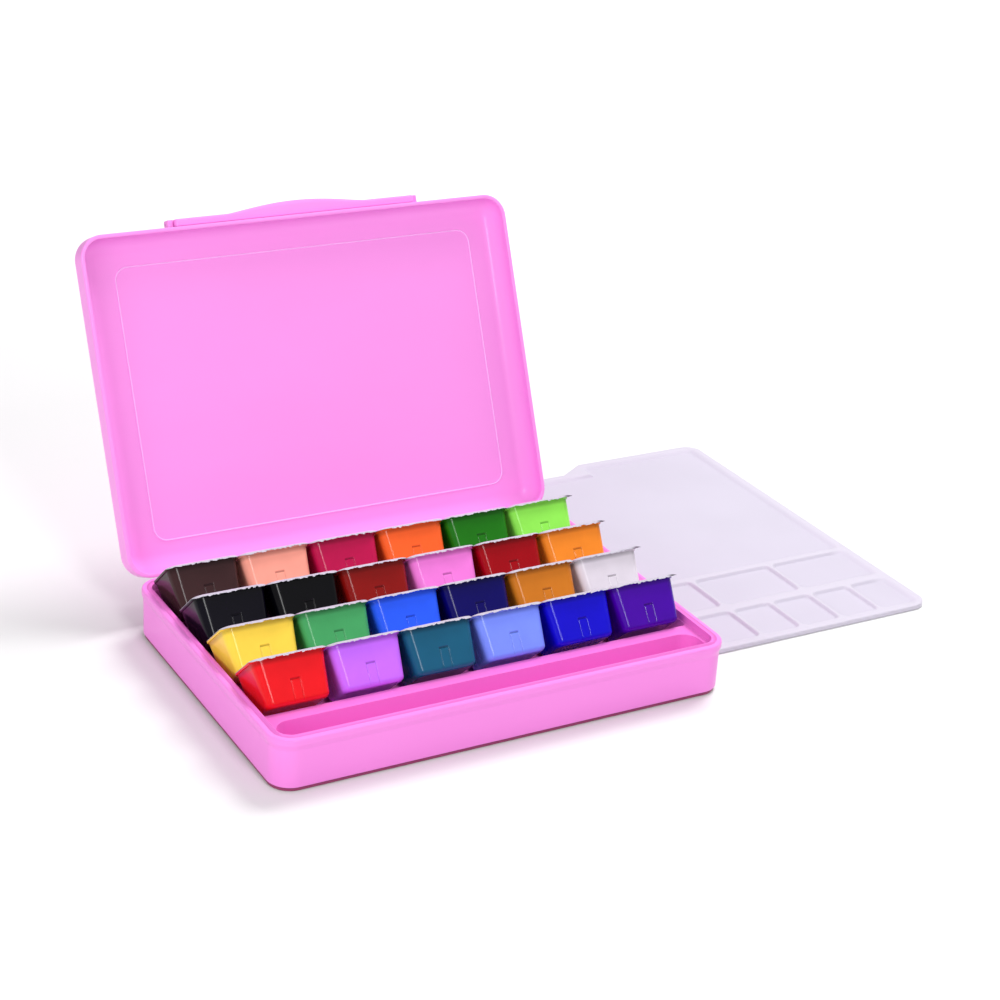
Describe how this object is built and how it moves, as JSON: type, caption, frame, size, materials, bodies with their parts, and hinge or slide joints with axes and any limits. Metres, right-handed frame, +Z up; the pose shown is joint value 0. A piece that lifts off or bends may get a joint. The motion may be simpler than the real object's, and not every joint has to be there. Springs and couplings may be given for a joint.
{
  "type": "gouache paint set box",
  "caption": "Hinged plastic case with rows of foil-sealed gouache cups in a tray with a brush trough, a carry handle on the lid and a separate mixing palette.",
  "frame": {"origin": "centre of the case's underside", "axes": "+X right along the case, +Y to the back where the lid is hinged, +Z up"},
  "size_m": [0.487, 0.323, 0.2311],
  "materials": {
    "case_plastic": "satin moulded",
    "tray_plastic": "satin moulded",
    "palette_plastic": "milky translucent",
    "pin_metal": "bright",
    "seal_foil": "white coated foil",
    "cup_dark_brown": "glossy thin-walled cup",
    "cup_salmon": "glossy thin-walled cup",
    "cup_crimson": "glossy thin-walled cup",
    "cup_orange": "glossy thin-walled cup",
    "cup_dark_green": "glossy thin-walled cup",
    "cup_lime": "glossy thin-walled cup",
    "cup_violet_black": "glossy thin-walled cup",
    "cup_black": "glossy thin-walled cup",
    "cup_brick_red": "glossy thin-walled cup",
    "cup_orchid": "glossy thin-walled cup",
    "cup_deep_red": "glossy thin-walled cup",
    "cup_golden_orange": "glossy thin-walled cup",
    "cup_yellow": "glossy thin-walled cup",
    "cup_green": "glossy thin-walled cup",
    "cup_blue": "glossy thin-walled cup",
    "cup_navy": "glossy thin-walled cup",
    "cup_ochre": "glossy thin-walled cup",
    "cup_white": "glossy thin-walled cup",
    "cup_red": "glossy thin-walled cup",
    "cup_lilac": "glossy thin-walled cup",
    "cup_teal": "glossy thin-walled cup",
    "cup_periwinkle": "glossy thin-walled cup",
    "cup_ultramarine": "glossy thin-walled cup",
    "cup_violet": "glossy thin-walled cup"
  },
  "bodies": {
    "base": {"base_shell": "case_plastic", "cup_tray": "tray_plastic", "lid_hinge_pins": "pin_metal"},
    "lid": {"lid_shell": "case_plastic", "handle_pins": "pin_metal"},
    "handle": {"carry_handle": "case_plastic"},
    "palette": {"mixing_palette": "palette_plastic"},
    "cup_dark_brown": {"cup_dark_brown": "cup_dark_brown", "seal_dark_brown": "seal_foil"},
    "cup_salmon": {"cup_salmon": "cup_salmon", "seal_salmon": "seal_foil"},
    "cup_crimson": {"cup_crimson": "cup_crimson", "seal_crimson": "seal_foil"},
    "cup_orange": {"cup_orange": "cup_orange", "seal_orange": "seal_foil"},
    "cup_dark_green": {"cup_dark_green": "cup_dark_green", "seal_dark_green": "seal_foil"},
    "cup_lime": {"cup_lime": "cup_lime", "seal_lime": "seal_foil"},
    "cup_violet_black": {"cup_violet_black": "cup_violet_black", "seal_violet_black": "seal_foil"},
    "cup_black": {"cup_black": "cup_black", "seal_black": "seal_foil"},
    "cup_brick_red": {"cup_brick_red": "cup_brick_red", "seal_brick_red": "seal_foil"},
    "cup_orchid": {"cup_orchid": "cup_orchid", "seal_orchid": "seal_foil"},
    "cup_deep_red": {"cup_deep_red": "cup_deep_red", "seal_deep_red": "seal_foil"},
    "cup_golden_orange": {"cup_golden_orange": "cup_golden_orange", "seal_golden_orange": "seal_foil"},
    "cup_yellow": {"cup_yellow": "cup_yellow", "seal_yellow": "seal_foil"},
    "cup_green": {"cup_green": "cup_green", "seal_green": "seal_foil"},
    "cup_blue": {"cup_blue": "cup_blue", "seal_blue": "seal_foil"},
    "cup_navy": {"cup_navy": "cup_navy", "seal_navy": "seal_foil"},
    "cup_ochre": {"cup_ochre": "cup_ochre", "seal_ochre": "seal_foil"},
    "cup_white": {"cup_white": "cup_white", "seal_white": "seal_foil"},
    "cup_red": {"cup_red": "cup_red", "seal_red": "seal_foil"},
    "cup_lilac": {"cup_lilac": "cup_lilac", "seal_lilac": "seal_foil"},
    "cup_teal": {"cup_teal": "cup_teal", "seal_teal": "seal_foil"},
    "cup_periwinkle": {"cup_periwinkle": "cup_periwinkle", "seal_periwinkle": "seal_foil"},
    "cup_ultramarine": {"cup_ultramarine": "cup_ultramarine", "seal_ultramarine": "seal_foil"},
    "cup_violet": {"cup_violet": "cup_violet", "seal_violet": "seal_foil"}
  },
  "joints": [
    {"name": "lid_hinge", "type": "hinge", "parent": "base", "child": "lid", "pos_m": [0, 0.10752, 0.03], "axis": [1, 0, 0], "range_deg": [0, 114]},
    {"name": "handle_pivot", "type": "hinge", "parent": "lid", "child": "handle", "pos_m": [0, 0.20918, 0.22145], "axis": [-1, 0, 0], "range_deg": [0, 90]},
    {"name": "palette_lift", "type": "slide", "parent": "base", "child": "palette", "axis": [0, 0, 1], "range_m": [0, 0.08]},
    {"name": "tilt_dark_brown", "type": "hinge", "parent": "base", "child": "cup_dark_brown", "pos_m": [-0.11675, 0.08309, 0.0333], "axis": [1, 0, 0], "range_deg": [0, 42]},
    {"name": "tilt_salmon", "type": "hinge", "parent": "base", "child": "cup_salmon", "pos_m": [-0.07005, 0.08309, 0.0333], "axis": [1, 0, 0], "range_deg": [0, 42]},
    {"name": "tilt_crimson", "type": "hinge", "parent": "base", "child": "cup_crimson", "pos_m": [-0.02335, 0.08309, 0.0333], "axis": [1, 0, 0], "range_deg": [0, 42]},
    {"name": "tilt_orange", "type": "hinge", "parent": "base", "child": "cup_orange", "pos_m": [0.02335, 0.08309, 0.0333], "axis": [1, 0, 0], "range_deg": [0, 42]},
    {"name": "tilt_dark_green", "type": "hinge", "parent": "base", "child": "cup_dark_green", "pos_m": [0.07005, 0.08309, 0.0333], "axis": [1, 0, 0], "range_deg": [0, 42]},
    {"name": "tilt_lime", "type": "hinge", "parent": "base", "child": "cup_lime", "pos_m": [0.11675, 0.08309, 0.0333], "axis": [1, 0, 0], "range_deg": [0, 42]},
    {"name": "tilt_violet_black", "type": "hinge", "parent": "base", "child": "cup_violet_black", "pos_m": [-0.11675, 0.04149, 0.0333], "axis": [1, 0, 0], "range_deg": [0, 42]},
    {"name": "tilt_black", "type": "hinge", "parent": "base", "child": "cup_black", "pos_m": [-0.07005, 0.04149, 0.0333], "axis": [1, 0, 0], "range_deg": [0, 42]},
    {"name": "tilt_brick_red", "type": "hinge", "parent": "base", "child": "cup_brick_red", "pos_m": [-0.02335, 0.04149, 0.0333], "axis": [1, 0, 0], "range_deg": [0, 42]},
    {"name": "tilt_orchid", "type": "hinge", "parent": "base", "child": "cup_orchid", "pos_m": [0.02335, 0.04149, 0.0333], "axis": [1, 0, 0], "range_deg": [0, 42]},
    {"name": "tilt_deep_red", "type": "hinge", "parent": "base", "child": "cup_deep_red", "pos_m": [0.07005, 0.04149, 0.0333], "axis": [1, 0, 0], "range_deg": [0, 42]},
    {"name": "tilt_golden_orange", "type": "hinge", "parent": "base", "child": "cup_golden_orange", "pos_m": [0.11675, 0.04149, 0.0333], "axis": [1, 0, 0], "range_deg": [0, 42]},
    {"name": "tilt_yellow", "type": "hinge", "parent": "base", "child": "cup_yellow", "pos_m": [-0.11675, -0.00011, 0.0333], "axis": [1, 0, 0], "range_deg": [0, 42]},
    {"name": "tilt_green", "type": "hinge", "parent": "base", "child": "cup_green", "pos_m": [-0.07005, -0.00011, 0.0333], "axis": [1, 0, 0], "range_deg": [0, 42]},
    {"name": "tilt_blue", "type": "hinge", "parent": "base", "child": "cup_blue", "pos_m": [-0.02335, -0.00011, 0.0333], "axis": [1, 0, 0], "range_deg": [0, 42]},
    {"name": "tilt_navy", "type": "hinge", "parent": "base", "child": "cup_navy", "pos_m": [0.02335, -0.00011, 0.0333], "axis": [1, 0, 0], "range_deg": [0, 42]},
    {"name": "tilt_ochre", "type": "hinge", "parent": "base", "child": "cup_ochre", "pos_m": [0.07005, -0.00011, 0.0333], "axis": [1, 0, 0], "range_deg": [0, 42]},
    {"name": "tilt_white", "type": "hinge", "parent": "base", "child": "cup_white", "pos_m": [0.11675, -0.00011, 0.0333], "axis": [1, 0, 0], "range_deg": [0, 42]},
    {"name": "tilt_red", "type": "hinge", "parent": "base", "child": "cup_red", "pos_m": [-0.11675, -0.04171, 0.0333], "axis": [1, 0, 0], "range_deg": [0, 42]},
    {"name": "tilt_lilac", "type": "hinge", "parent": "base", "child": "cup_lilac", "pos_m": [-0.07005, -0.04171, 0.0333], "axis": [1, 0, 0], "range_deg": [0, 42]},
    {"name": "tilt_teal", "type": "hinge", "parent": "base", "child": "cup_teal", "pos_m": [-0.02335, -0.04171, 0.0333], "axis": [1, 0, 0], "range_deg": [0, 42]},
    {"name": "tilt_periwinkle", "type": "hinge", "parent": "base", "child": "cup_periwinkle", "pos_m": [0.02335, -0.04171, 0.0333], "axis": [1, 0, 0], "range_deg": [0, 42]},
    {"name": "tilt_ultramarine", "type": "hinge", "parent": "base", "child": "cup_ultramarine", "pos_m": [0.07005, -0.04171, 0.0333], "axis": [1, 0, 0], "range_deg": [0, 42]},
    {"name": "tilt_violet", "type": "hinge", "parent": "base", "child": "cup_violet", "pos_m": [0.11675, -0.04171, 0.0333], "axis": [1, 0, 0], "range_deg": [0, 42]}
  ],
  "couplings": [
    {"joint": "tilt_dark_brown", "follows": "lid_hinge", "ratio": 0.36842},
    {"joint": "tilt_salmon", "follows": "lid_hinge", "ratio": 0.36842},
    {"joint": "tilt_crimson", "follows": "lid_hinge", "ratio": 0.36842},
    {"joint": "tilt_orange", "follows": "lid_hinge", "ratio": 0.36842},
    {"joint": "tilt_dark_green", "follows": "lid_hinge", "ratio": 0.36842},
    {"joint": "tilt_lime", "follows": "lid_hinge", "ratio": 0.36842},
    {"joint": "tilt_violet_black", "follows": "lid_hinge", "ratio": 0.36842},
    {"joint": "tilt_black", "follows": "lid_hinge", "ratio": 0.36842},
    {"joint": "tilt_brick_red", "follows": "lid_hinge", "ratio": 0.36842},
    {"joint": "tilt_orchid", "follows": "lid_hinge", "ratio": 0.36842},
    {"joint": "tilt_deep_red", "follows": "lid_hinge", "ratio": 0.36842},
    {"joint": "tilt_golden_orange", "follows": "lid_hinge", "ratio": 0.36842},
    {"joint": "tilt_yellow", "follows": "lid_hinge", "ratio": 0.36842},
    {"joint": "tilt_green", "follows": "lid_hinge", "ratio": 0.36842},
    {"joint": "tilt_blue", "follows": "lid_hinge", "ratio": 0.36842},
    {"joint": "tilt_navy", "follows": "lid_hinge", "ratio": 0.36842},
    {"joint": "tilt_ochre", "follows": "lid_hinge", "ratio": 0.36842},
    {"joint": "tilt_white", "follows": "lid_hinge", "ratio": 0.36842},
    {"joint": "tilt_red", "follows": "lid_hinge", "ratio": 0.36842},
    {"joint": "tilt_lilac", "follows": "lid_hinge", "ratio": 0.36842},
    {"joint": "tilt_teal", "follows": "lid_hinge", "ratio": 0.36842},
    {"joint": "tilt_periwinkle", "follows": "lid_hinge", "ratio": 0.36842},
    {"joint": "tilt_ultramarine", "follows": "lid_hinge", "ratio": 0.36842},
    {"joint": "tilt_violet", "follows": "lid_hinge", "ratio": 0.36842}
  ]
}
